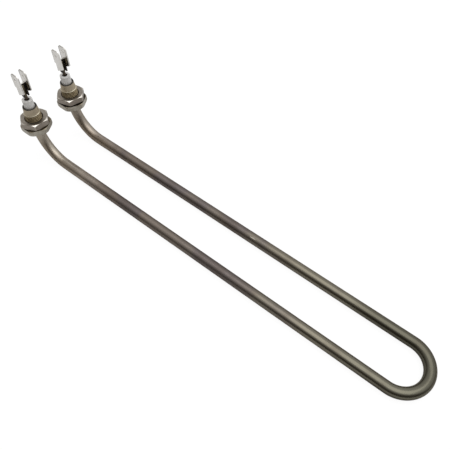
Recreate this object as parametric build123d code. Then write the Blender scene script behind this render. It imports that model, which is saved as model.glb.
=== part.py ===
from build123d import *
from math import cos, radians, tan
import os

# A tubular heating element: one metal sheath bent to a hairpin, with both ends turned up into a
# threaded fitting, a ceramic bush and a twin push-on tab. It lies on its two legs, terminals up.
# Millimetres. +X runs along the legs to the return bend, +Z is up, and left is the -Y side.
# The origin is on the ground, below the middle of the whole element.

# Sheath
tube_d = 6.5
tube_wall = 0.5
leg_pitch = 29.0        # between the centre lines of the two legs
leg_length = 230.0      # straight part of each leg
bend_radius = 19.5      # centre line of each turned-up end
stub_length = 1.4       # straight tube between the turned-up bend and the flange

# Threaded fitting, turned from hexagon bar
flange_flats = 17.0
flange_d = 19.0         # the hexagon's corners are turned down to this
flange_height = 3.6
flange_chamfer = 0.5
thread_d = 10.0
thread_length = 8.7
thread_chamfer = 0.4
neck_base_d = 9.3
neck_rim_d = 8.4
neck_height = 4.3
cup_d = 7.4             # recess in the top of the neck
cup_depth = 3.0
braze_size = 1.1        # both legs of the fillet of solder under the flange

# Lock nut
nut_flats = 16.0
nut_height = 4.1
nut_gap = 0.3           # between the flange and the nut
nut_chamfer_angle = 30  # degrees, of the turned faces
nut_bore_chamfer = 0.7
nut_turn = {"left": 25, "right": 15}    # degrees from +X to the first corner

# Terminal pin, coil and seals
pin_d = 2.0
cold_length = 25.0      # reach of the unheated pin into each straight leg
coil_grip = 10.0        # length of coil wound tight on the end of each pin
coil_wire = 0.4
plug_depth = 7.0        # sealing plug in the mouth of the sheath
seal_recess = 0.3       # from the rim of the neck down to the end seal

# Ceramic bush
ceramic_d = 6.2
ceramic_stand = 5.1     # above the rim of the neck
ceramic_edge = 0.4
ceramic_mouth_d = 3.0
ceramic_mouth_depth = 1.8
pin_clearance = 0.1     # radial, round the pin in the ceramic

# Twin push-on tab, one folded sheet
tab_sheet = 0.8
tab_width = 6.3
tab_length = 12.2       # front edge of a blade, from its lower corner to the tip
tab_heel = 3.3          # how much lower the back corner of a blade reaches
tab_inside = 4.4        # clear space between the two blades
tab_tip_taper = 1.2
tab_tip_bevel = 0.25
dimple_d = 1.7
dimple_depth = 0.2
dimple_from_tip = 3.5
web_height = 6.1        # up from the heels
fold_radius = 0.5       # inside the fold between web and blade
cradle_reach = 0.9      # how far the cradle hangs below the heels
cradle_height = 3.3
cradle_wing = 1.9       # how far the cradle's sides pass the middle of the pin
cradle_gap = 2.95       # between the cradle and the ceramic
pin_below_web_top = 0.5

# Places worked out from those sizes
tube_r = tube_d / 2
bore_r = tube_r - tube_wall
pin_r = pin_d / 2
coil_r = pin_r + coil_wire
leg_z = tube_r
return_radius = leg_pitch / 2
overall_length = flange_d / 2 + bend_radius + leg_length + return_radius + tube_r
stub_x = flange_d / 2 - overall_length / 2
bend_x = stub_x + bend_radius
return_x = bend_x + leg_length
bend_top_z = leg_z + bend_radius
flange_z = bend_top_z + stub_length
thread_z = flange_z + flange_height
nut_z = thread_z + nut_gap
neck_z = thread_z + thread_length
rim_z = neck_z + neck_height
mouth_z = rim_z - cup_depth
ceramic_top_z = rim_z + ceramic_stand
heel_z = ceramic_top_z + cradle_gap + cradle_reach
tab_z = heel_z + tab_heel
web_top_z = heel_z + web_height
tab_top_z = tab_z + tab_length
pin_top_z = web_top_z - pin_below_web_top
web_back_x = -pin_r - tab_sheet
tab_middle_x = web_back_x + tab_width / 2
coil_x = bend_x + cold_length

sides = {"left": -1, "right": 1}


def leg_y(side):
    return sides[side] * leg_pitch / 2


def upturn(side, top_z, leg_end_x):
    """Centre line of one end: down from top_z, round the bend and along the leg."""
    y = leg_y(side)
    bend_top = (stub_x, y, bend_top_z)
    bend_foot = (bend_x, y, leg_z)
    return [
        Line((stub_x, y, top_z), bend_top),
        TangentArc(bend_top, bend_foot, tangent=(0, 0, -1)),
        Line(bend_foot, (leg_end_x, y, leg_z)),
    ]


def return_bend():
    """Centre line of the round bend that joins the two legs."""
    return TangentArc(
        (return_x, leg_y("left"), leg_z), (return_x, leg_y("right"), leg_z), tangent=(1, 0, 0))


def hairpin(top_z):
    """Centre line of the whole sheath between its two mouths at top_z."""
    return Wire(upturn("left", top_z, return_x) + [return_bend()] + upturn("right", top_z, return_x))


def leg_loop(start_x):
    """Centre line from start_x on the left leg, round the return bend, to start_x on the right leg."""
    legs = [Line((start_x, leg_y(side), leg_z), (return_x, leg_y(side), leg_z)) for side in sides]
    return Wire([legs[0], return_bend(), legs[1]])


def rod(path, radius):
    """A round bar carried along a centre line."""
    start = Plane(origin=path @ 0, z_dir=path % 0)
    return sweep(start * Circle(radius), path=path)


def turned(outline):
    """A solid of revolution round Z from (radius, height) points."""
    face = make_face(Plane.XZ * Polyline(*outline, close=True))
    return revolve(face, Axis.Z)


def at_terminal(side, piece):
    return Pos(stub_x, leg_y(side), 0) * piece


def sheath_tube():
    path = hairpin(mouth_z)
    return rod(path, tube_r) - rod(path, bore_r)


def terminal_pin(side):
    return rod(Wire(upturn(side, pin_top_z, coil_x + coil_grip)), pin_r)


def resistance_coil():
    """The wound coil as a plain tube of its outside and inside diameters."""
    path = leg_loop(coil_x)
    return rod(path, coil_r) - rod(path, pin_r)


def magnesia_filling():
    """Packed powder round the coil and pins, and the core of it inside the coil."""
    packed = rod(hairpin(mouth_z - plug_depth), bore_r) - rod(leg_loop(coil_x), coil_r)
    for side in sides:
        packed -= terminal_pin(side)
    core = rod(leg_loop(coil_x + coil_grip), pin_r)
    return Compound([*packed.solids(), *core.solids()])


def threaded_fitting():
    """Flange, thread and tapered neck in one turning, bored for the sheath."""
    turning = turned([
        (tube_r, flange_z),
        (flange_d / 2 - flange_chamfer, flange_z),
        (flange_d / 2, flange_z + flange_chamfer),
        (flange_d / 2, thread_z - flange_chamfer),
        (flange_d / 2 - flange_chamfer, thread_z),
        (thread_d / 2, thread_z),
        (thread_d / 2, neck_z - thread_chamfer),
        (neck_base_d / 2, neck_z),
        (neck_rim_d / 2, rim_z),
        (cup_d / 2, rim_z),
        (cup_d / 2, mouth_z),
        (tube_r, mouth_z),
    ])
    hexagon = Pos(0, 0, flange_z) * extrude(
        RegularPolygon(flange_flats / 2, 6, major_radius=False), flange_height)
    above = Pos(0, 0, thread_z) * Cylinder(
        flange_d / 2, rim_z - thread_z, align=(Align.CENTER, Align.CENTER, Align.MIN))
    return turning & (hexagon + above)


def braze_ring():
    """Fillet of solder in the corner between the sheath and the underside of the flange."""
    corner = (tube_r, flange_z)
    out = (tube_r + braze_size, flange_z)
    down = (tube_r, flange_z - braze_size)
    hollow = (tube_r + braze_size, flange_z - braze_size)
    reach = braze_size * cos(radians(45))
    middle = (hollow[0] - reach, hollow[1] + reach)
    outline = Line(corner, out) + ThreePointArc(out, middle, down) + Line(down, corner)
    return revolve(make_face(Plane.XZ * outline), Axis.Z)


def hex_nut(side):
    """Thin lock nut: a hexagon trimmed by a chamfer cone at each face, with a chamfered bore."""
    face_r = nut_flats / 2
    corner_r = face_r / cos(radians(30))
    drop = (corner_r - face_r) * tan(radians(nut_chamfer_angle))
    top_z = nut_z + nut_height
    bore_r_out = thread_d / 2 + nut_bore_chamfer
    blank = Pos(0, 0, nut_z) * extrude(
        RegularPolygon(face_r, 6, major_radius=False, rotation=nut_turn[side]), nut_height)
    envelope = turned([
        (thread_d / 2, nut_z + nut_bore_chamfer),
        (bore_r_out, nut_z),
        (face_r, nut_z),
        (corner_r, nut_z + drop),
        (corner_r, top_z - drop),
        (face_r, top_z),
        (bore_r_out, top_z),
        (thread_d / 2, top_z - nut_bore_chamfer),
    ])
    return blank & envelope


def ceramic_bush():
    bush_r = ceramic_d / 2
    hole_r = pin_r + pin_clearance
    shelf_z = ceramic_top_z - ceramic_mouth_depth
    return turned([
        (hole_r, mouth_z),
        (bush_r, mouth_z),
        (bush_r, ceramic_top_z - ceramic_edge),
        (bush_r - ceramic_edge, ceramic_top_z),
        (ceramic_mouth_d / 2, ceramic_top_z),
        (ceramic_mouth_d / 2, shelf_z),
        (hole_r, shelf_z),
    ])


def ring(inner_r, outer_r, low_z, high_z):
    return turned([(inner_r, low_z), (outer_r, low_z), (outer_r, high_z), (inner_r, high_z)])


def sheath_plug():
    return ring(pin_r, bore_r, mouth_z - plug_depth, mouth_z)


def end_seal():
    return ring(ceramic_d / 2, cup_d / 2, mouth_z, rim_z - seal_recess)


def blade_outline():
    """A blade from the side: a slanted lower edge, lowest at the web, and a tapered tip."""
    return make_face(Plane.XZ * Polyline(
        (web_back_x, heel_z),
        (web_back_x + tab_width, tab_z),
        (web_back_x + tab_width, tab_top_z - tab_tip_taper),
        (web_back_x + tab_width - tab_tip_taper, tab_top_z),
        (web_back_x + tab_tip_taper, tab_top_z),
        (web_back_x, tab_top_z - tab_tip_taper),
        close=True))


def blade(side):
    """One push-on blade, bevelled at its tip, with a detent dimple in both faces."""
    middle_y = sides[side] * (tab_inside + tab_sheet) / 2
    plate = Pos(0, middle_y, 0) * extrude(blade_outline(), tab_sheet / 2, both=True)
    plate = chamfer(plate.faces().sort_by(Axis.Z)[-1].edges().filter_by(Axis.X), tab_tip_bevel)
    for face in (-1, 1):
        surface_y = middle_y + face * (tab_sheet / 2 - dimple_depth / 2)
        plate -= Pos(tab_middle_x, surface_y, tab_top_z - dimple_from_tip) * Rot(90, 0, 0) * Cylinder(
            dimple_d / 2, dimple_depth)
    return plate


def web():
    """The folded web behind the pin, with its two rounded folds into the blades."""
    channel = Pos(web_back_x, 0) * Rectangle(
        tab_width / 2, tab_inside + 2 * tab_sheet, align=(Align.MIN, Align.CENTER))
    channel = fillet(channel.vertices().sort_by(Axis.X)[:2], fold_radius + tab_sheet)
    space = Pos(web_back_x + tab_sheet, 0) * Rectangle(
        tab_width, tab_inside, align=(Align.MIN, Align.CENTER))
    channel -= fillet(space.vertices().sort_by(Axis.X)[:2], fold_radius)
    folded = Pos(0, 0, heel_z) * extrude(channel, web_height)
    return folded & extrude(blade_outline(), tab_inside / 2 + tab_sheet, both=True)


def cradle():
    """The narrow tongue under the web, pressed into an open trough that holds the pin."""
    trough_r = pin_r + tab_sheet
    section = Circle(trough_r) + Rectangle(cradle_wing, 2 * trough_r, align=(Align.MIN, Align.CENTER))
    section -= Circle(pin_r) + Rectangle(2 * trough_r, pin_d, align=(Align.MIN, Align.CENTER))
    section -= Pos(cradle_wing, 0) * Rectangle(trough_r, 2 * trough_r, align=(Align.MIN, Align.CENTER))
    return Pos(0, 0, heel_z - cradle_reach) * extrude(section, cradle_height)


def twin_tab():
    blades = blade("left") + blade("right")
    corners = Pos(web_back_x, 0, heel_z) * Box(
        tab_sheet + fold_radius, tab_inside + 2 * tab_sheet, web_height,
        align=(Align.MIN, Align.CENTER, Align.MIN))
    return blades - corners + web() + cradle()


pieces = {
    "sheath_tube": sheath_tube(),
    "magnesia_filling": magnesia_filling(),
    "resistance_coil": resistance_coil(),
}
for side in sides:
    pieces[f"terminal_pin_{side}"] = terminal_pin(side)
    pieces[f"sheath_plug_{side}"] = at_terminal(side, sheath_plug())
    pieces[f"threaded_fitting_{side}"] = at_terminal(side, threaded_fitting())
    pieces[f"braze_ring_{side}"] = at_terminal(side, braze_ring())
    pieces[f"hex_nut_{side}"] = at_terminal(side, hex_nut(side))
    pieces[f"end_seal_{side}"] = at_terminal(side, end_seal())
    pieces[f"ceramic_bush_{side}"] = at_terminal(side, ceramic_bush())
    pieces[f"twin_tab_{side}"] = at_terminal(side, twin_tab())

os.makedirs("parts", exist_ok=True)
for name, solid in pieces.items():
    export_step(solid, f"parts/{name}.step")
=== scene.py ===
# %% [markdown]
# # A tubular heating element
# The real thing is one metal tube, bent to a hairpin, with a resistance wire packed in white powder
# inside. Each end is turned up and carries a threaded fitting, a lock nut, a ceramic bush and a
# folded push-on tab. The solid model already has every size, so this script only gives the surfaces
# their looks: softened edges, a real screw thread, the colours that heat and handling leave, and
# some painted shade and painted highlights.

# %% The frame
from math import cos, pi, radians, sin

import bmesh
import bpy
import numpy as np
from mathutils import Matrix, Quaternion, Vector


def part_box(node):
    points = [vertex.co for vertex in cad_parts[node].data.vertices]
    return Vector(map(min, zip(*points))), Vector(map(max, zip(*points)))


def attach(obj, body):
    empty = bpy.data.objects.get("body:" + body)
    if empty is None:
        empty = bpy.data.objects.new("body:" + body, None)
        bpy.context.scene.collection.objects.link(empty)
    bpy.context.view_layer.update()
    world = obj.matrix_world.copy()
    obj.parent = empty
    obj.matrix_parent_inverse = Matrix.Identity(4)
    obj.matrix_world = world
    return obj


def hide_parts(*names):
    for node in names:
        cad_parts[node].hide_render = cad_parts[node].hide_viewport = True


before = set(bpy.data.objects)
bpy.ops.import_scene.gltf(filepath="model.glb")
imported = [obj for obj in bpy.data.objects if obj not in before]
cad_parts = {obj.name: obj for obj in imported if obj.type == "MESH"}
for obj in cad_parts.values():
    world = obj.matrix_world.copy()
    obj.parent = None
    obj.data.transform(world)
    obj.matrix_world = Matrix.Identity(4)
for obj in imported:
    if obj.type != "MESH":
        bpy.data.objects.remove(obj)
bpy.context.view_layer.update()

MM = 0.001
SIDES = ("left", "right")

# %% [markdown]
# ## Where things are
# A new surface has to sit exactly where the solid one does. Its place could be typed in again, but
# then a change of the model would leave it behind. So the places come from the boxes round the
# solid pieces, and only sizes that no box can tell are written down here.

# %% Places and sizes
axis = {}
for side in SIDES:
    low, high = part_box(f"ceramic_bush_{side}")
    axis[side] = (low.x + high.x) / 2, (low.y + high.y) / 2
stub_x = axis["left"][0]
pitch = axis["right"][1] - axis["left"][1]

tube_low, tube_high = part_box("sheath_tube")
tube_r = (tube_high.y - tube_low.y - pitch) / 2
tube_wall = 0.5 * MM
bend_radius = 19.5 * MM
bend_x = stub_x + bend_radius
return_x = tube_high.x - tube_r - pitch / 2
mouth_z = tube_high.z

flange_z, rim_z = (corner.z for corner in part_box("threaded_fitting_left"))
nut_z, nut_top_z = (corner.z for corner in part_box("hex_nut_left"))
ceramic_top_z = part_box("ceramic_bush_left")[1].z
seal_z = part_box("end_seal_left")[1].z
tab_top_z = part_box("twin_tab_left")[1].z
print("tube", round(2 * tube_r / MM, 2), "mm thick, legs", round(pitch / MM, 2), "mm apart")

# %% [markdown]
# ## A skin over a grid of points
# Every new piece here is a surface with two parameters, worked out as whole arrays: first the
# points, then four-sided faces between neighbours. Both directions close on themselves, like the
# skin of a ring, so no piece has a hole, a seam or a pole.

# %% Helpers that turn a closed grid of points into a piece
def stand_in(name, mesh, node):
    """Makes a mesh a piece that rides on the one body and stands for a solid node."""
    piece = bpy.data.objects.new(name, mesh)
    bpy.context.scene.collection.objects.link(piece)
    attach(piece, "root")
    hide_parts(node)
    return piece


def skin(name, points, material, node, values=None, uv=None):
    """Faces join point (i, j) with (i, j+1), (i+1, j+1) and (i+1, j), and the last row and column
    join the first. The sum of p0 . (p1 x p2) over the faces tells whether they point outwards.
    values are numbers for each point, and uv is the columns' lengths, the rows' lengths with the
    closing one, and the length once across."""
    rows, columns = points.shape[:2]
    number = np.arange(rows * columns).reshape(rows, columns)
    down, across = np.roll(number, -1, 0), np.roll(number, -1, 1)
    quads = np.stack([number, across, np.roll(down, -1, 1), down], -1).reshape(-1, 4)
    flat = points.reshape(-1, 3)
    first, second, third = (flat[quads[:, k]] for k in range(3))
    inside_out = np.einsum("ij,ij->", first, np.cross(second, third)) < 0
    order = [0, 3, 2, 1] if inside_out else [0, 1, 2, 3]
    mesh = bpy.data.meshes.new(name)
    mesh.from_pydata(flat.tolist(), [], quads[:, order].tolist())
    mesh.polygons.foreach_set("use_smooth", np.ones(len(quads), bool))
    if uv is not None:
        u, v = np.meshgrid(uv[0], uv[1][:-1])
        u_next, v_next = np.meshgrid(np.append(uv[0][1:], uv[2]), uv[1][1:])
        corners = np.stack([np.stack([u, v], -1), np.stack([u_next, v], -1),
                            np.stack([u_next, v_next], -1), np.stack([u, v_next], -1)], 2)
        layer = mesh.uv_layers.new(name="surface")
        layer.data.foreach_set("uv", corners.reshape(-1, 4, 2)[:, order].ravel())
    for label, numbers in (values or {}).items():
        layer = mesh.attributes.new(label, "FLOAT", "POINT")
        layer.data.foreach_set("value", np.asarray(numbers, np.float32).ravel())
    mesh.materials.append(material)
    print(name, len(quads) * 2, "triangles")
    return stand_in(name, mesh, node)

# %% [markdown]
# ## Shader arithmetic
# A finish is a small program of nodes. Wired by hand it is hard to read, so a socket is wrapped in
# a class that knows plus, minus, times and divide. Then `dark * mask + bright * (1 - mask)` in
# Python adds the Math nodes that say the same.

# %% A number that can be written in expressions
class Flow:
    """A number that flows out of one node and into others."""

    def __init__(self, board, socket):
        self.board, self.socket = board, socket

    def __add__(self, other): return self.board.maths("ADD", self, other)
    def __radd__(self, other): return self.board.maths("ADD", other, self)
    def __sub__(self, other): return self.board.maths("SUBTRACT", self, other)
    def __rsub__(self, other): return self.board.maths("SUBTRACT", other, self)
    def __mul__(self, other): return self.board.maths("MULTIPLY", self, other)
    def __rmul__(self, other): return self.board.maths("MULTIPLY", other, self)
    def __truediv__(self, other): return self.board.maths("DIVIDE", self, other)
    def __rtruediv__(self, other): return self.board.maths("DIVIDE", other, self)
    def __abs__(self): return self.board.maths("ABSOLUTE", self)

# %% [markdown]
# ## A board of nodes
# The nodes could be added one by one with their links in between. One method that takes a node's
# type, its settings and what goes into its sockets is enough for all of them. The short methods
# below it name the few things that the finishes here are made of: noise, a ramp, a mask that rises
# or fades along a length, and coats of colour laid over each other.

# %% A node tree that is filled by its methods
class Board:
    """A node tree, emptied and ready to be filled."""

    def __init__(self, name, tree):
        self.name, self.tree = name, tree
        tree.nodes.clear()

    def node(self, kind, settings=None, values=None):
        """Adds a node: its settings first, then a value or a link for each socket."""
        made = self.tree.nodes.new("ShaderNode" + kind)
        for name, value in (settings or {}).items():
            if name == "stops":
                ramp = made.color_ramp.elements
                while len(ramp) < len(value):
                    ramp.new(1)
                for stop, (place, colour) in zip(ramp, value):
                    stop.position, stop.color = place, (*colour, 1)
            else:
                setattr(made, name, value)
        for name, value in (values or {}).items():
            if isinstance(value, Flow):
                self.tree.links.new(value.socket, made.inputs[name])
            elif isinstance(value, tuple) and made.inputs[name].type == "RGBA":
                made.inputs[name].default_value = (*value, 1)
            else:
                made.inputs[name].default_value = value
        return made

    def out(self, kind, socket, settings=None, values=None):
        return Flow(self, self.node(kind, settings, values).outputs[socket])

    def maths(self, operation, *terms):
        return self.out("Math", 0, {"operation": operation}, dict(enumerate(terms)))

    def split(self, vector):
        """The three numbers in a vector."""
        parts = self.node("SeparateXYZ", None, {0: vector})
        return [Flow(self, parts.outputs[k]) for k in range(3)]

    def place(self):
        """Object coordinates, which stay with the piece, as separate X, Y and Z."""
        self.where = self.out("TexCoord", "Object")
        return self.split(self.where)

    def point(self, x, y, z):
        return self.out("CombineXYZ", 0, None, {0: x, 1: y, 2: z})

    def noise(self, vector, scale, detail=3.0):
        return self.out("TexNoise", 0, None, {
            "Vector": vector, "Scale": scale, "Detail": detail, "Roughness": 0.55})

    def rise(self, value, start, end, low=0.0, high=1.0):
        """Goes smoothly from low to high while value goes from start to end."""
        return self.out("MapRange", 0, {"interpolation_type": "SMOOTHSTEP"},
                        {0: value, 1: start, 2: end, 3: low, 4: high})

    def fade(self, value, start, end):
        """Goes smoothly from 1 to 0 while value goes from start to end."""
        return 1 - self.rise(value, start, end)

    def by_side(self, y, left, right):
        """One number on the left leg and another on the right one, told apart by Y."""
        return self.rise(y, -1 * MM, 1 * MM, left, right)

    def near_axis(self, x, y, inner, outer):
        """1 within the inner radius round a terminal's axis, 0 outside the outer one. The two axes
        mirror each other in Y, so |y| serves both: (x - stub_x)^2 + (|y| - pitch / 2)^2."""
        off_x, off_y = x - stub_x, abs(y) - pitch / 2
        return self.fade(off_x * off_x + off_y * off_y, inner ** 2, outer ** 2)

    def ramp(self, value, stops):
        return self.out("ValToRGB", 0, {"stops": stops}, {0: value})

    def coats(self, colour, *coats):
        """Lays one colour after another over the first, each with the share that it covers."""
        for share, over in coats:
            colour = self.out("Mix", 2, {"data_type": "RGBA"}, {0: share, 6: colour, 7: over})
        return colour

# %% [markdown]
# ## A finish from start to end
# Each finish could set up its material and its shader by itself. They all begin and end alike, so
# two functions do that part: one makes an empty board, the other joins a colour, a roughness, a
# share of metal and a bump to the usual shader.

# %% The start and the end of a finish
def finish(name):
    """A new material with an empty board."""
    material = bpy.data.materials.new(name)
    material.use_nodes = True
    return material, Board(name, material.node_tree)


def surface(board, colour, roughness, metallic, height, strength, distance, **fixed):
    """Ends a board with the usual shader and a bump that stands distance high where height is 1.
    fixed holds plain values for further sockets, with _ for a space in their names."""
    bump = {"Strength": strength, "Distance": distance, "Height": height}
    values = {"Base Color": colour, "Roughness": roughness, "Metallic": metallic,
              "Normal": board.out("Bump", 0, None, bump)}
    values.update({key.replace("_", " "): value for key, value in fixed.items()})
    shader = board.out("BsdfPrincipled", 0, None, values)
    board.node("OutputMaterial", None, {0: shader})
    print("finish", board.name, "has", len(board.tree.nodes), "nodes")

# %% [markdown]
# ## The heat-tinted sheath
# The sheath is nickel steel that has been annealed: a thin oxide gives it a pale straw near the
# mouths, a brown and faintly violet cast along the middle and an olive one round the return bend.
# Painted shade darkens the right half of the return bend, its lower half, and the left side of each
# upturned end, which goes a darker brown. Drawing leaves fine lengthwise marks. One picture wrapped
# round the tube could hold all this, but it would blur close by. So the tints follow the place
# along
# X, soft patches break them up, and the marks are noise stretched along the tube's own length.

# %% Sheath finish
matt_until, bright_from = 10 * MM, 90 * MM      # along X, where the oxide gives way to gloss
end_reach = 25 * MM                             # how far the pale end reaches into the leg
marks_across, marks_along = 5000.0, 45.0        # drawing marks in a metre of girth and of length
# painted shade on the left side of each upturned end: how far off the leg's axis and how high
end_side_off, end_side_z = (-1.8 * MM, -0.2 * MM), (12 * MM, 18 * MM)
# painted shade on the lower half of the return bend: the heights where it fades out
underside_z = 3.6 * MM, 4.6 * MM
# painted shade over the right half of the return bend: where it starts in X and Y
bend_shade_x, bend_shade_y = (78 * MM, 100 * MM), (-14 * MM, 8 * MM)
nick, nick_half = (19.8 * MM, 12.9 * MM), (2.4 * MM, 0.26 * MM)     # on top of the right leg
nick_z = 4.5 * MM, 5.0 * MM


def sheath_tint(board, x, y):
    """A ramp from the mouths to the return bend, moved a little by soft patches and by Y."""
    along = (x - stub_x) / (return_x + pitch / 2 - stub_x)
    patches = board.noise(board.where, 34.0, 2.0)
    return board.ramp(along + (patches - 0.5) * 0.12 + y * 2.8, [
        (0.00, (0.50, 0.45, 0.38)), (0.10, (0.38, 0.33, 0.28)), (0.19, (0.21, 0.175, 0.15)),
        (0.50, (0.185, 0.16, 0.138)), (0.72, (0.20, 0.182, 0.142)), (1.00, (0.16, 0.155, 0.12))])


def sheath_finish():
    material, board = finish("heat_tinted_sheath")
    x, y, z = board.place()
    girth_and_length = board.out("UVMap", 0, {"uv_map": "surface"})
    marks = board.noise(board.out("VectorMath", 0, {"operation": "MULTIPLY"}, {
        0: girth_and_length, 1: (marks_across, marks_along, 1.0)}), 1.0, 2.0)
    from_end = board.rise(x, bend_x, bend_x + end_reach)
    violet = from_end * board.rise(board.noise(board.where, 42.0, 1.0), 0.50, 0.62) * board.rise(
        x, bright_from, matt_until)
    smoke = board.rise(board.noise(board.where, 75.0, 2.0), 0.45, 0.70)
    off_leg = y - board.by_side(y, -pitch / 2, pitch / 2)
    # painted shade: the left side of each upturned end is a darker brown
    end_side_shade = (1 - from_end) * board.fade(off_leg, *end_side_off) * (
        1 - board.rise(z, *end_side_z, 0.0, 0.7))
    # painted shade: the lower half of the return bend is dark
    underside_shade = board.rise(x, bright_from, return_x) * board.fade(z, *underside_z)
    # painted shade: the right half of the return bend is darker
    bend_shade = board.rise(x, *bend_shade_x) * board.rise(y, *bend_shade_y, 0.2, 1.0)
    off_x, off_y = (x - nick[0]) / nick_half[0], (y - nick[1]) / nick_half[1]
    nicked = board.fade(off_x * off_x + off_y * off_y, 0.3, 1.0) * board.rise(z, *nick_z)
    colour = board.coats(
        sheath_tint(board, x, y),
        (violet * 0.7, (0.148, 0.128, 0.132)),
        (smoke * from_end * 0.4, (0.125, 0.098, 0.078)),
        (board.rise(marks, 0.55, 0.8) * 0.1, (0.32, 0.29, 0.26)),
        # painted shade, brown, on the left side of each upturned end
        (end_side_shade * 0.6, (0.24, 0.185, 0.13)),
        # painted shade on the lower half of the return bend
        (underside_shade * 0.75, (0.04, 0.038, 0.03)),
        # painted shade on the right half of the return bend
        (bend_shade * 0.6, (0.085, 0.08, 0.06)),
        (nicked * 0.8, (0.66, 0.62, 0.54)))
    dull = board.rise(x, matt_until, bright_from, 0.37, 0.22)
    roughness = dull + marks * 0.03 + smoke * 0.06
    surface(board, colour, roughness, 0.95, marks, 0.05, 0.01 * MM,
            Specular_Tint=(0.75, 0.70, 0.66))
    return material


sheath_material = sheath_finish()

# %% [markdown]
# ## The line of the tube
# The tube is bent from one straight length, so its line is straight runs and quarter or half
# circles. A curve object could be drawn through a few of its points, but it would cut the corners.
# A formula gives every point on it, and two directions that turn with it: one stays in the plane
# of each bend, the other stands square to it.

# %% Centre line of the tube
stub_points, bend_points, leg_points, return_points = 12, 40, 60, 96


def run(start, end, count):
    """Points on a straight run, at equal steps, with the last one left to the next run."""
    share = np.linspace(0, 1, count, endpoint=False)[:, None]
    return np.asarray(start) + share * (np.asarray(end) - np.asarray(start))


def centre_line():
    """Points, lengthwise directions and upper directions along the hairpin. In the turned-up end
    at angle a the tube points along (cos a, 0, -sin a) and its upper side along (sin a, 0, cos a).
    In the return bend at angle b it points along (cos b, sin b, 0) and its upper side is up."""
    leg_z = tube_r
    bend_top_z = leg_z + bend_radius
    turn = np.linspace(pi / 2, 0, bend_points, endpoint=False)
    stub = run((stub_x, 0, mouth_z), (stub_x, 0, bend_top_z), stub_points)
    bend = np.stack([bend_x - bend_radius * np.sin(turn), 0 * turn,
                     bend_top_z - bend_radius * np.cos(turn)], -1)
    leg = run((bend_x, 0, leg_z), (return_x, 0, leg_z), leg_points)
    end_turn = np.concatenate([np.full(len(stub), pi / 2), turn, np.zeros(len(leg))])
    half = np.concatenate([stub, bend, leg])
    half_along = np.stack([np.cos(end_turn), 0 * end_turn, -np.sin(end_turn)], -1)
    half_up = np.stack([np.sin(end_turn), 0 * end_turn, np.cos(end_turn)], -1)
    swing = np.linspace(0, pi, return_points)
    round_bend = np.stack([return_x + pitch / 2 * np.sin(swing), -pitch / 2 * np.cos(swing),
                           np.full(len(swing), leg_z)], -1)
    round_along = np.stack([np.cos(swing), np.sin(swing), 0 * swing], -1)
    round_up = np.tile([0.0, 0.0, 1.0], (len(swing), 1))
    shift = np.array([0, pitch / 2, 0])
    points = np.concatenate([half - shift, round_bend, half[::-1] + shift])
    along = np.concatenate([half_along, round_along, -half_along[::-1]])
    up = np.concatenate([half_up, round_up, half_up[::-1]])
    return points, along, up


centre, along, up = centre_line()
steps = np.linalg.norm(np.diff(centre, axis=0), axis=1)
print("the tube's centre line is", round(steps.sum() / MM, 1), "mm long")

# %% [markdown]
# ## The bent tube
# The sheath is a thin wall, open at both mouths. It could be a bar, but then the mouths would have
# no rim. A circle is carried along the line instead: the skin goes out along the outside, turns in
# at the mouth and comes back along the bore.

# %% Sheath tube
tube_around = 72


def sheath_tube():
    """Point = centre + radius * (upper side * -cos t + sideways * sin t), with t from the
    underside. The radius is the outside one on the way out and the bore's on the way back."""
    sideways = np.cross(along, up)
    t = np.arange(tube_around) * 2 * pi / tube_around
    spread = sideways[:, None] * np.sin(t)[:, None] - up[:, None] * np.cos(t)[:, None]
    outside = centre[:, None] + tube_r * spread
    bore = (centre[:, None] + (tube_r - tube_wall) * spread)[::-1]
    out = np.concatenate([[0], np.cumsum(steps)])
    back = out[-1] + tube_wall + out
    lengths = np.concatenate([out, back, [back[-1] + tube_wall]])
    girth = 2 * pi * tube_r
    return skin("sheath", np.concatenate([outside, bore]), sheath_material, "sheath_tube",
                uv=(t / (2 * pi) * girth, lengths, girth))


sheath_tube()

# %% [markdown]
# ## Soft outlines
# The fitting, nut, bush and seals come off a lathe or out of a round mould, so each has a closed
# outline of radius and height. Real edges are never sharp, and it is the narrow rounding that
# catches the light. A bevel could round the finished piece, but it would trip over the thread, so
# the corners of the outline are softened before it is turned.

# %% Outlines
def softened(outline, reach, steps=5):
    """Rounds each corner C of a closed outline. The line leaves its run at A, a reach before C,
    follows (1-t)^2 A + 2t(1-t) C + t^2 B, and joins the next run at B, a reach after C."""
    corner = np.asarray(outline, float)
    back, ahead = np.roll(corner, 1, 0) - corner, np.roll(corner, -1, 0) - corner
    a, b = (corner + way * np.minimum(0.45, reach / np.linalg.norm(way, axis=1))[:, None]
            for way in (back, ahead))
    t = np.linspace(0, 1, steps)[:, None, None]
    curve = (1 - t) ** 2 * a + 2 * t * (1 - t) * corner + t ** 2 * b
    return curve.transpose(1, 0, 2).reshape(-1, 2)


def finer(outline, step):
    """Adds points to a closed outline until no two neighbours are more than a step apart."""
    ends = np.roll(outline, -1, 0)
    counts = np.maximum(1, np.ceil(np.linalg.norm(ends - outline, axis=1) / step).astype(int))
    return np.concatenate([run(a, b, n) for a, b, n in zip(outline, ends, counts)])


square = softened([(0, 0), (1, 0), (1, 1), (0, 1)], 0.2)
print("a softened square has", len(square), "points, a finer one", len(finer(square, 0.1)))

# %% [markdown]
# ## Turning
# A lathe gives every point the radius of its outline, all the way round. Blender can spin a line
# too, but only with the same radius all round. Here the radius may change with the angle, which
# makes hexagons, threads and wavy edges out of the same outline.

# %% Turning
def lesser(a, b, blend):
    """The smaller of two lengths, with the change-over rounded:
    (a + b - sqrt((a - b)^2 + blend^2)) / 2."""
    return (a + b - np.sqrt((a - b) ** 2 + blend ** 2)) / 2


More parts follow.
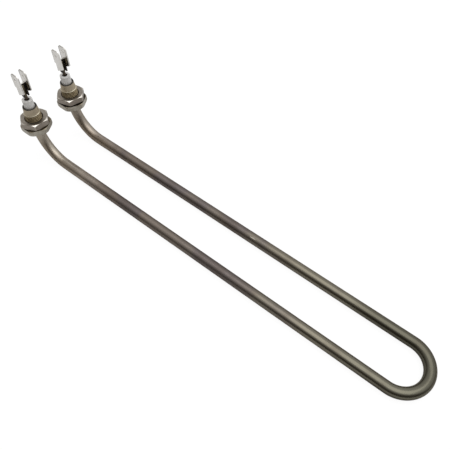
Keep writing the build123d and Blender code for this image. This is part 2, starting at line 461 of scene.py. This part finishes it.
def hexagon(turn, flats, first_corner):
    """Radius of a hexagon at an angle: half its flats over the cosine of the angle from the middle
    of the nearest side."""
    return flats / 2 / np.cos((turn - radians(first_corner)) % (pi / 3) - pi / 6)


def carried(outline, around):
    """The angle, the radius and the height of each point of an outline carried round an axis."""
    turn = np.arange(around)[None] * 2 * pi / around
    return turn, outline[:, :1] + 0 * turn, outline[:, 1:] + 0 * turn


def turned(outline, side, around, shape=None):
    """x = r cos a and y = r sin a from the terminal's axis. shape gives r from a, the outline's
    radius and the height."""
    turn, radius, height = carried(outline, around)
    if shape:
        radius = shape(turn, radius, height)
    x, y = axis[side]
    return np.stack([x + radius * np.cos(turn), y + radius * np.sin(turn), height], -1)


print("the square turned round an axis is a grid of", turned(square, "left", 96).shape[:2])

# %% [markdown]
# ## The screw thread
# The thread is M10 x 1. It could be a separate coiled ridge, but then it would cross the bar under
# it. Here the fitting's own skin dips into a groove that climbs one pitch in each turn, so there is
# nothing to cross. The nut's thread is the same groove with a hair of clearance.

# %% Thread groove
thread_r = 5.0 * MM
thread_pitch = 1.0 * MM
thread_cut = 0.55 * MM
crest_flat = 0.16           # share of the pitch, at the crest
root_flat = 0.22
flange_height = 3.6 * MM
thread_length = 8.7 * MM
thread_z = flange_z + flange_height
neck_z = thread_z + thread_length


def groove(turn, height):
    """How far the groove goes in, from 0 at the crest to 1 at its root: a triangle wave of the
    phase height / pitch - angle / full turn, cut flat at both ends, that dies out at the shoulder
    and at the flange."""
    phase = (height / thread_pitch - turn / (2 * pi)) % 1
    wave = (1 - np.abs(2 * phase - 1) - crest_flat) / (1 - crest_flat - root_flat)
    from_flange = np.clip((height - thread_z) / thread_pitch, 0, 1)
    to_shoulder = np.clip((neck_z - height) / thread_pitch * 2 - 0.4, 0, 1)
    return np.clip(wave, 0, 1) * from_flange * to_shoulder


print("the thread climbs", round(thread_length / thread_pitch, 1), "turns")

# %% [markdown]
# ## The fitting's straw tint
# Brazing the fitting to the sheath has left a straw tint, golden and patched with flux round the
# thread and paler on the flange. The groove is painted nearly black, and painted shade lies on the
# flange under the nut. Dark rings could be drawn by height alone, but they would cross the groove
# instead of following it. So the groove's depth travels to the finish as a value on each point, and
# so does the closeness of the shoulder, which is rubbed and carries a painted highlight.

# %% Fitting finish
def fitting_finish():
    material, board = finish("straw_tinted_fitting")
    x, y, z = board.place()
    root = board.out("Attribute", "Fac", {"attribute_name": "root"})
    rub = board.out("Attribute", "Fac", {"attribute_name": "rub"})
    rings = board.noise(board.point(x * 300.0, y * 300.0, z * 9000.0), 1.0, 2.0)
    cloud = board.noise(board.where, 260.0, 4.0)
    straw = board.ramp(cloud, [(0.30, (0.33, 0.27, 0.175)), (0.52, (0.42, 0.355, 0.25)),
                               (0.72, (0.52, 0.455, 0.35))])
    pale = board.ramp(cloud, [(0.30, (0.36, 0.33, 0.27)), (0.70, (0.54, 0.51, 0.45))])
    above_flange = board.rise(z, thread_z - 0.4 * MM, thread_z)
    # painted shade on the flange's top face under the nut, darker on the right
    flange_shade_under_nut = board.rise(z, thread_z - 0.15 * MM, thread_z - 0.05 * MM) * board.fade(
        z, thread_z + 0.5 * MM, thread_z + 0.8 * MM) * board.near_axis(x, y, 8.7 * MM, 9.3 * MM)
    golden = board.rise(z, thread_z, thread_z + 0.5 * MM) * board.fade(
        z, neck_z - 0.3 * MM, neck_z + 1.2 * MM)
    flux = board.rise(board.noise(board.where, 620.0, 2.0), 0.48, 0.60)
    satin = board.rise(z, neck_z, neck_z + 0.3 * MM)
    resin = board.rise(z + (cloud - 0.5) * 0.3 * MM, rim_z - 0.35 * MM, rim_z - 0.12 * MM)
    colour = board.coats(
        pale,
        (above_flange, straw),
        # painted shade under the nut
        (flange_shade_under_nut * board.by_side(y, 0.6, 0.95), (0.03, 0.024, 0.018)),
        (golden * 0.75, (0.42, 0.34, 0.21)),
        (golden * flux * 0.25, (0.16, 0.11, 0.065)),
        (satin * 0.45, (0.66, 0.58, 0.46)),
        # the groove's root is painted nearly black
        (root * 0.92, (0.07, 0.045, 0.018)),
        # rubbed metal and a painted highlight along the shoulder
        (rub, (0.97, 0.89, 0.70)),
        (resin, (0.03, 0.025, 0.02)))
    roughness = 0.33 + cloud * 0.14 + root * 0.2 - rub * 0.08 + satin * 0.15
    surface(board, colour, roughness, 0.95 - resin * 0.9, rings + cloud * 0.5, 0.35, 0.02 * MM)
    return material


fitting_material = fitting_finish()

# %% [markdown]
# ## The threaded fitting
# It is one turning from hexagon bar: a flange whose corners are turned off, the thread, and a plain
# neck that tapers to a thin rim. A hexagon and a bar could be joined, but a joint leaves a sharp
# line. Here the one outline is held under the hexagon's radius in the flange, and the thread is cut
# where the outline is on the thread's radius.

# %% Fitting pieces
fitting_around = 144
flange_r, flange_flats, flange_edge = 9.5 * MM, 17.0 * MM, 0.5 * MM
neck_base_r, neck_rim_r, cup_r = 4.65 * MM, 4.2 * MM, 3.7 * MM
thread_edge = 0.4 * MM
fitting_soft, fitting_step = 0.18 * MM, 0.12 * MM
# the shoulder's rub and painted highlight is this wide
flange_blend, shoulder_rub_and_highlight = 0.12 * MM, 0.27 * MM
bore_wall = 0.2 * MM        # what lies nearer to the tube than this is the fitting's bore
hair = 0.01 * MM            # for telling which side of an edge a point is on


def fitting(side):
    """The outline's radius, held under the hexagon's in the flange and cut by the groove above.
    The shoulder's rub and painted highlight is e to the minus square of the distance from it over
    its width."""
    outline = finer(softened([
        (tube_r, flange_z), (flange_r - flange_edge, flange_z),
        (flange_r, flange_z + flange_edge), (flange_r, thread_z - flange_edge),
        (flange_r - flange_edge, thread_z), (thread_r, thread_z),
        (thread_r, neck_z - thread_edge), (neck_base_r, neck_z), (neck_rim_r, rim_z),
        (cup_r, rim_z), (cup_r, mouth_z), (tube_r, mouth_z)], fitting_soft), fitting_step)

    def shape(turn, radius, height):
        in_flange = (height < thread_z + hair) & (radius > tube_r + bore_wall)
        held = lesser(radius, hexagon(turn, flange_flats, 0), flange_blend)
        cut = radius - thread_cut * groove(turn, height) * (radius > thread_r - 2 * hair)
        return np.where(in_flange, held, cut)

    turn, radius, height = carried(outline, fitting_around)
    deep = groove(turn, height) * (radius > thread_r - 2 * hair) * (height > thread_z)
    # the shoulder's rub and painted highlight, fading off over its width
    from_shoulder = (height - neck_z + thread_edge / 2) / shoulder_rub_and_highlight
    worn_and_highlit = np.exp(-from_shoulder ** 2) * (radius > neck_rim_r)
    return skin(f"fitting_{side}", turned(outline, side, fitting_around, shape),
                fitting_material, f"threaded_fitting_{side}",
                values={"root": deep, "rub": worn_and_highlit})


for side in SIDES:
    fitting(side)

# %% [markdown]
# ## The nut's satin
# The nut is plated and has been turned by a spanner: fine scratches, sides painted paler than the
# top as painted light, painted shade where it meets the flange, and bright edges that are partly
# wear and partly painted highlight. The shader could look for edges by itself, but it would find
# those of the thread too. So the closeness of the curved edge goes to the finish as a value on each
# point.

# %% Nut finish
def nut_finish():
    material, board = finish("satin_nut")
    x, y, z = board.place()
    edge = board.out("Attribute", "Fac", {"attribute_name": "rub"})
    scratch = board.noise(board.point(x * 2600.0, y * 2600.0, z * 700.0), 1.0, 3.0)
    cloud = board.noise(board.where, 220.0, 4.0)
    tint = board.ramp(cloud, [(0.30, (0.205, 0.178, 0.148)), (0.50, (0.265, 0.236, 0.202)),
                              (0.72, (0.345, 0.315, 0.272))])
    # the sides are painted paler than the top: painted light
    painted_light_sides = board.fade(z, nut_top_z - 0.6 * MM, nut_top_z - 0.1 * MM)
    # how high the painted shade at the nut's foot reaches: more on the right
    gap_shade_height = board.by_side(y, 0.0, 0.45 * MM)
    # painted shade where the nut meets the flange
    gap_shade = board.fade(z - gap_shade_height + (cloud - 0.5) * 0.4 * MM, nut_z, nut_z + 0.25 * MM)
    colour = board.coats(
        tint,
        # painted light on the sides
        (painted_light_sides * 0.6, (0.42, 0.37, 0.32)),
        # bright edges: wear and a painted highlight
        (edge * 0.85, (0.90, 0.85, 0.78)),
        # painted shade at the nut's foot
        (gap_shade * 0.9, (0.04, 0.032, 0.024)))
    roughness = 0.30 + scratch * 0.14 - edge * 0.12
    surface(board, colour, roughness, 0.95, scratch, 0.3, 0.02 * MM)
    return material


nut_material = nut_finish()

# %% [markdown]
# ## The lock nut
# A thin hexagon nut is chamfered on both faces, which leaves the curved line on each side. It could
# be cut out with a cone, but that leaves ragged faces along the line. Here the chamfer is a cone,
# the nut is whatever lies inside both the cone and the hexagon, and a rounded change-over between
# the two gives the worn edge.

# %% Nut pieces
nut_around = 240
nut_flats = 16.0 * MM
nut_face_r = nut_flats / 2
nut_corner_r = nut_face_r / cos(pi / 6)
nut_drop = (nut_corner_r - nut_face_r) * np.tan(pi / 6)
nut_first_corner = {"left": 25, "right": 15}        # degrees from X
nut_bore_edge, thread_play = 0.7 * MM, 0.03 * MM
nut_soft, nut_step, nut_blend = 0.2 * MM, 0.14 * MM, 0.2 * MM
# width and fall-off height of the edges' wear and painted highlight
edge_rub_and_highlight, rub_and_highlight_height = 0.22 * MM, 0.8 * MM


def nut(side):
    """The lesser of the chamfer cone's radius and the hexagon's outside, and the groove plus a
    little play in the bore. The gap between cone and hexagon is nothing on the curved line, which
    is where the rub and the painted highlight are strongest, and below nothing on the chamfer.
    The upper chamfer is painted as highlight all over."""
    mouth_r = thread_r + nut_bore_edge
    outline = finer(softened([
        (thread_r, nut_z + nut_bore_edge), (mouth_r, nut_z), (nut_face_r, nut_z),
        (nut_corner_r, nut_z + nut_drop), (nut_corner_r, nut_top_z - nut_drop),
        (nut_face_r, nut_top_z), (mouth_r, nut_top_z), (thread_r, nut_top_z - nut_bore_edge)],
        nut_soft), nut_step)

    def shape(turn, radius, height):
        held = lesser(radius, hexagon(turn, nut_flats, nut_first_corner[side]), nut_blend)
        bore = radius - thread_cut * groove(turn, height) + thread_play
        return np.where(radius < thread_r + hair, bore, held)

    turn, radius, height = carried(outline, nut_around)
    gap = radius - hexagon(turn, nut_flats, nut_first_corner[side])
    upper = np.clip((height - nut_top_z) / rub_and_highlight_height + 2.0, 0.15, 1)
    # the upper chamfer gets the full painted highlight
    top_chamfer = (gap < 0) * (height > nut_top_z - nut_drop)
    worn_and_highlit = np.minimum(0.4 * upper * np.exp(-(gap / edge_rub_and_highlight) ** 2) + top_chamfer, 1)
    worn_and_highlit = worn_and_highlit * (radius > nut_face_r + 2 * hair)
    return skin(f"nut_{side}", turned(outline, side, nut_around, shape), nut_material,
                f"hex_nut_{side}", values={"rub": worn_and_highlit})


for side in SIDES:
    nut(side)

# %% [markdown]
# ## Finishes of ceramic, seal and solder
# The bush is fired steatite: pale, matt and faintly speckled, darker brown towards its foot, with
# painted shade down in its mouth. The seal is dark resin and the solder a dull gold. The last two
# are the same kind of finish, soft patches between two shades, so one function makes both, and more
# of them later.

# %% Ceramic, seal and solder finishes
def ceramic_finish():
    material, board = finish("fired_ceramic")
    x, y, z = board.place()
    speck = board.noise(board.where, 2600.0, 2.0)
    cloud = board.noise(board.where, 420.0)
    # painted shade down in the bush's mouth
    mouth_shade = board.near_axis(x, y, 1.45 * MM, 1.75 * MM) * board.fade(
        z, ceramic_top_z - 0.5 * MM, ceramic_top_z - 0.1 * MM)
    colour = board.coats(
        board.ramp(cloud, [(0.3, (0.73, 0.72, 0.70)), (0.7, (0.83, 0.825, 0.815))]),
        (board.rise(speck, 0.62, 0.75) * 0.3, (0.42, 0.40, 0.37)),
        # darker brown towards the foot, above the seal
        (board.fade(z, seal_z, seal_z + 0.9 * MM) * 0.5, (0.30, 0.27, 0.23)),
        # painted shade in the mouth
        (mouth_shade * 0.9, (0.07, 0.055, 0.045)))
    surface(board, colour, 0.48 + speck * 0.2, 0.0, speck, 0.3, 0.03 * MM)
    return material


def patchy_finish(name, dark, light, scale, rough, rougher, metallic, strength, distance):
    """Soft patches between two shades, rougher where they are light."""
    material, board = finish(name)
    board.place()
    cloud = board.noise(board.where, scale)
    colour = board.ramp(cloud, [(0.3, dark), (0.7, light)])
    surface(board, colour, rough + cloud * rougher, metallic, cloud, strength, distance)
    return material


ceramic_material = ceramic_finish()
seal_material = patchy_finish("dark_resin_seal", (0.018, 0.015, 0.012), (0.05, 0.042, 0.032),
                              700.0, 0.35, 0.2, 0.0, 0.4, 0.05 * MM)
solder_material = patchy_finish("pale_solder", (0.28, 0.23, 0.14), (0.42, 0.37, 0.27),
                                500.0, 0.30, 0.2, 0.9, 0.3, 0.04 * MM)

# %% [markdown]
# ## Ceramic, seal and solder
# The bush has a soft edge and a mouth wider than the pin's hole. The dark ring round it is the end
# of the resin that keeps damp out of the powder, and it creeps up both walls a little. The solder
# under the flange is a hollow fillet with a slightly wavy edge. Each could be a plain ring, but
# then its edge would show no light, so each has its own outline.

# %% Bush, seal and solder pieces
small_around = 96
ceramic_r, pin_r, pin_gap = 3.1 * MM, 1.0 * MM, 0.1 * MM
ceramic_mouth_r, ceramic_mouth_depth = 1.5 * MM, 1.8 * MM
ceramic_soft, ceramic_step = 0.35 * MM, 0.5 * MM
creep = 0.25 * MM           # how far the seal climbs its walls
solder_leg, solder_wave = 1.1 * MM, 0.12        # the wave is a share of the leg
curve_points = 9


def bush(side):
    """An outline with rounded corners: up the outside, over the top, down the mouth, in along its
    floor and down the pin's hole."""
    hole_r, shelf_z = pin_r + pin_gap, ceramic_top_z - ceramic_mouth_depth
    outline = finer(softened([
        (hole_r, mouth_z), (ceramic_r, mouth_z), (ceramic_r, ceramic_top_z),
        (ceramic_mouth_r, ceramic_top_z), (ceramic_mouth_r, shelf_z), (hole_r, shelf_z)],
        ceramic_soft, 7), ceramic_step)
    skin(f"bush_{side}", turned(outline, side, small_around), ceramic_material,
         f"ceramic_bush_{side}")


def seal(side):
    """The top lies at height - creep * (1 - |2s - 1|^3), with s from 0 at the ceramic to 1 at the
    neck, so that it climbs both walls."""
    across = np.linspace(ceramic_r, cup_r, curve_points)
    climb = np.abs(2 * np.linspace(0, 1, curve_points) - 1) ** 3
    top = np.stack([across, seal_z - creep * (1 - climb)], -1)
    outline = np.concatenate([[(ceramic_r, mouth_z)], top, [(cup_r, mouth_z)]])
    skin(f"seal_{side}", turned(outline, side, small_around), seal_material,
         f"end_seal_{side}")


def solder(side):
    """A hollow quarter circle at angle b: radius = tube + leg * (1 - sin b) and height = flange -
    leg * (1 - cos b). Its reach along the flange swings by sines of 3 and 7 times the angle."""
    bow = np.linspace(0, pi / 2, curve_points)
    hollow = np.stack([tube_r + solder_leg * (1 - np.sin(bow)),
                       flange_z - solder_leg * (1 - np.cos(bow))], -1)
    outline = np.concatenate([[(tube_r, flange_z)], hollow])

    def wavy(turn, radius, height):
        swing = 0.5 + 0.3 * np.sin(3 * turn + 1) + 0.2 * np.sin(7 * turn)
        return tube_r + (radius - tube_r) * (1 - solder_wave * swing)

    skin(f"solder_{side}", turned(outline, side, small_around, wavy), solder_material,
         f"braze_ring_{side}")


for side in SIDES:
    bush(side)
    seal(side)
    solder(side)

# %% [markdown]
# ## The tab's tin
# The tab is stamped from tin-plated sheet, which stays bright, with faint upright smears. The web
# and the tongue between the blades are dark: partly the scorch of welding it to the pin, partly
# painted shade inside the fold. The dark could be a piece of its own, but it is only colour, so the
# finish goes dark between the blades and low down.

# %% Tab finish
web_drop = 9.4 * MM         # from the blades' tips to the top of the web
between_r = 1.95 * MM, 2.15 * MM                # off the axis in Y: the blades' inner faces
web_front = -1.7 * MM, -1.2 * MM                # off the axis in X


def tab_finish(side):
    material, board = finish(f"tinned_tab_{side}")
    x, y, z = board.place()
    between = board.fade(abs(y - axis[side][1]), *between_r)
    low = board.fade(z, tab_top_z - web_drop - 0.2 * MM, tab_top_z - web_drop)
    front = board.rise(x, stub_x + web_front[0], stub_x + web_front[1], 0.55, 1.0)
    cloud = board.noise(board.where, 900.0, 4.0)
    # partly weld scorch, partly painted shade between the blades and low down
    dark = board.rise(between * low * front + (cloud - 0.5) * 0.3, 0.35, 0.70)
    smear = board.noise(board.point(x * 500.0, y * 500.0, z * 120.0), 1.0, 3.0)
    colour = board.coats(
        board.ramp(smear, [(0.3, (0.77, 0.75, 0.71)), (0.7, (0.92, 0.90, 0.87))]),
        # partly scorch and partly painted shade
        (dark, (0.035, 0.027, 0.02)))
    roughness = 0.12 + smear * 0.10 + dark * 0.35
    surface(board, colour, roughness, 1 - dark * 0.6, smear, 0.2, 0.02 * MM)
    return material

# %% [markdown]
# ## The folded tab
# Two blades with a web behind them are folded from one sheet. The solid has that form already, so
# it isn't worked out again: a copy of it is merged from loose triangles into whole faces, and its
# edges are eased by a narrow bevel.

# %% Tab pieces
tab_ease = 0.08 * MM
merge_within, flat_within, eased_over = 0.001 * MM, radians(0.5), radians(35)


def eased_copy(node, name, material):
    """A merged copy of a solid node with bevelled edges."""
    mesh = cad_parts[node].data.copy()
    shape = bmesh.new()
    shape.from_mesh(mesh)
    bmesh.ops.remove_doubles(shape, verts=shape.verts, dist=merge_within)
    bmesh.ops.dissolve_limit(
        shape, angle_limit=flat_within, verts=shape.verts, edges=shape.edges)
    for face in shape.faces:
        face.smooth = True
    shape.to_mesh(mesh)
    shape.free()
    mesh.materials.clear()
    mesh.materials.append(material)
    piece = stand_in(name, mesh, node)
    bevel = piece.modifiers.new("eased_edges", "BEVEL")
    bevel.width, bevel.segments, bevel.limit_method = tab_ease, 2, "ANGLE"
    bevel.angle_limit, bevel.harden_normals = eased_over, True
    print(name, len(mesh.polygons), "faces before the bevel")
    return piece


for side in SIDES:
    eased_copy(f"twin_tab_{side}", f"tab_{side}", tab_finish(side))

# %% [markdown]
# ## Pieces that keep their solid
# The pins already have the right shape, and only get a dark brown low down at the bush's mouth,
# which turns olive further up. The powder, the coil and the plugs lie out of sight inside. They
# could be left plain, but they get finishes of their own, so that the element looks right if it
# is cut open.

# %% Finishes for the solid nodes
def pin_finish():
    material, board = finish("oxidised_pin")
    z = board.place()[2]
    cloud = board.noise(board.where, 800.0)
    # dark brown low down, where the pin enters the bush's mouth
    low_brown = board.ramp(cloud, [(0.3, (0.05, 0.038, 0.028)), (0.7, (0.12, 0.092, 0.07))])
    olive = board.ramp(cloud, [(0.3, (0.09, 0.072, 0.042)), (0.7, (0.22, 0.185, 0.12))])
    higher = board.rise(z, ceramic_top_z + 1.0 * MM, ceramic_top_z + 4.0 * MM)
    surface(board, board.coats(low_brown, (higher, olive)), 0.26 + cloud * 0.16, 0.85, cloud,
            0.15, 0.03 * MM)
    return material


pin_material = pin_finish()
powder_material = patchy_finish("packed_powder", (0.72, 0.71, 0.68), (0.84, 0.83, 0.80),
                                1800, 0.8, 0.15, 0.0, 0.3, 0.03 * MM)
wire_material = patchy_finish("resistance_wire", (0.36, 0.33, 0.31), (0.50, 0.47, 0.44),
                              900, 0.3, 0.15, 1.0, 0.3, 0.03 * MM)
worn_by = {"magnesia_filling": powder_material, "resistance_coil": wire_material}
for side in SIDES:
    worn_by[f"terminal_pin_{side}"] = pin_material
    worn_by[f"sheath_plug_{side}"] = seal_material
for name, material in worn_by.items():
    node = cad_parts[name]
    if not node.material_slots:
        node.data.materials.append(None)
    for holder in node.material_slots:
        holder.material = material
print(len(worn_by), "solid nodes stay and have a finish")

# %% [markdown]
# ## The table
# The element lies on a white table. More light could make it white, but that would wash out the
# metal too. So the table glows for the camera, a little for what metal and glass mirror of it, and
# is plain matt grey for the light itself, which keeps the element's shadow.

# %% Table
def light_path(board, *kinds):
    """1 for the kinds of ray that are named, and 0 for all others."""
    path = board.node("LightPath")
    rays = [Flow(board, path.outputs[f"Is {kind} Ray"]) for kind in kinds]
    return sum(rays[1:], rays[0])


table_half = 1.6
table_grey, table_glow = 0.62, 1.15
camera_share = 0.80         # of the table's white glow in what the camera sees
mirror_share = 0.12         # and in what metal and glass show of it
material, board = finish("white_table")
matt = board.out("BsdfDiffuse", 0, None, {0: (table_grey,) * 3})
glow = board.out("Emission", 0, None, {0: (1.0, 1.0, 1.0), 1: table_glow})
share = light_path(board, "Camera") * camera_share + light_path(
    board, "Glossy", "Transmission") * mirror_share
board.node("OutputMaterial", None, {
    0: board.out("MixShader", 0, None, {0: share, 1: matt, 2: glow})})
mesh = bpy.data.meshes.new("table")
corners = [(-1, -1), (1, -1), (1, 1), (-1, 1)]
mesh.from_pydata([(x * table_half, y * table_half, 0) for x, y in corners], [], [(0, 1, 2, 3)])
mesh.materials.append(material)
table = bpy.data.objects.new("table", mesh)
bpy.context.scene.collection.objects.link(table)
print("the table is", 2 * table_half, "m wide")

# %% [markdown]
# ## Sky
# A satin tube is mostly a mirror, so what stands round it matters more than any lamp. One even sky
# could light it, but then the tube would look flat. Here the sky is darker towards the horizon, and
# a dark screen at the camera's side draws the dark line along the tube.

# %% Sky
far_side_lift = 0.36        # how much more of the sky's brightness the far side has
screen_way = 0.61, -0.79    # the way to the dark screen, in X and Y
world = bpy.data.worlds.new("studio")
bpy.context.scene.world = world
world.use_nodes = True
board = Board("studio", world.node_tree)
aside, ahead, height = board.split(board.out("TexCoord", "Generated"))
sky = board.ramp(height + ahead * far_side_lift, [
    (0.00, (0.165, 0.15, 0.13)), (0.13, (0.225, 0.21, 0.19)), (0.48, (0.52, 0.51, 0.495)),
    (0.68, (0.84, 0.84, 0.84)), (0.82, (0.90, 0.90, 0.90)), (1.00, (0.95, 0.95, 0.95))])
towards = aside * screen_way[0] + ahead * screen_way[1]
screen = board.rise(towards, 0.15, 0.7) * board.fade(height, 0.5, 0.85)
light = board.coats(sky, (screen * 0.8, (0.055, 0.044, 0.033)),
                    (light_path(board, "Camera"), (1.0, 1.0, 1.0)))
board.node("OutputWorld", None, {0: board.out("Background", 0, None, {0: light, 1: 1.0})})
print("the sky has", len(board.tree.nodes), "nodes")

# %% [markdown]
# ## Lamp
# The bends and the edges need highlights that the sky can't give. Several small lamps could be set
# up, but each leaves its own spot on every bend. One broad lamp overhead gives long soft streaks.

# %% Lamp
def looking_back(name, data, aim, azimuth, elevation, distance, roll=0):
    """Puts a lamp or camera at aim + distance * (sin a cos e, -cos a cos e, sin e), where azimuth
    a is 0 at -Y and 90 degrees at +X, and turns it to face the aim."""
    a, e = radians(azimuth), radians(elevation)
    back = Vector((sin(a) * cos(e), -cos(a) * cos(e), sin(e)))
    made = bpy.data.objects.new(name, data)
    made.location = aim + back * distance
    made.rotation_mode = "QUATERNION"
    made.rotation_quaternion = back.to_track_quat("Z", "Y") @ Quaternion((0, 0, 1), radians(roll))
    bpy.context.scene.collection.objects.link(made)
    return made


lamp_aim = Vector((0, 0, 0.02))
lamp_azimuth, lamp_elevation, lamp_distance = 117, 83.6, 1.3
lamp_side, lamp_power, lamp_colour = 1.3, 5.3, (1.0, 0.99, 0.97)
data = bpy.data.lights.new("over", "AREA")
data.size, data.energy, data.color = lamp_side, lamp_power, lamp_colour
lamp = looking_back("over", data, lamp_aim, lamp_azimuth, lamp_elevation, lamp_distance)
print("the lamp hangs at", [round(x, 2) for x in lamp.location], "m")

# %% [markdown]
# ## The camera
# The picture was taken from close by, high over the return bend: the near bend looks large and the
# far terminals small. A long lens from further off could frame the same, but would lose that. So
# direction, distance and lens are all set, with the small roll of a hand-held shot.

# %% Camera
view_azimuth, view_elevation, view_roll = 37.74, 54.07, 1.03
view_distance = 299.4 * MM
view_aim = Vector((0.3, 11.8, 3.25)) * MM
picture_side = 450
focal_pixels = 507.1
sensor = 36.0

data = bpy.data.cameras.new("camera")
data.sensor_width = sensor
data.lens = focal_pixels / picture_side * sensor
data.clip_start, data.clip_end = 0.01, 20.0
camera = looking_back("camera", data, view_aim, view_azimuth, view_elevation, view_distance,
                      view_roll)
bpy.context.scene.camera = camera
bpy.context.scene.view_settings.view_transform = "Standard"
print("lens", round(data.lens, 2), "mm, camera at", [round(x / MM, 1) for x in camera.location])
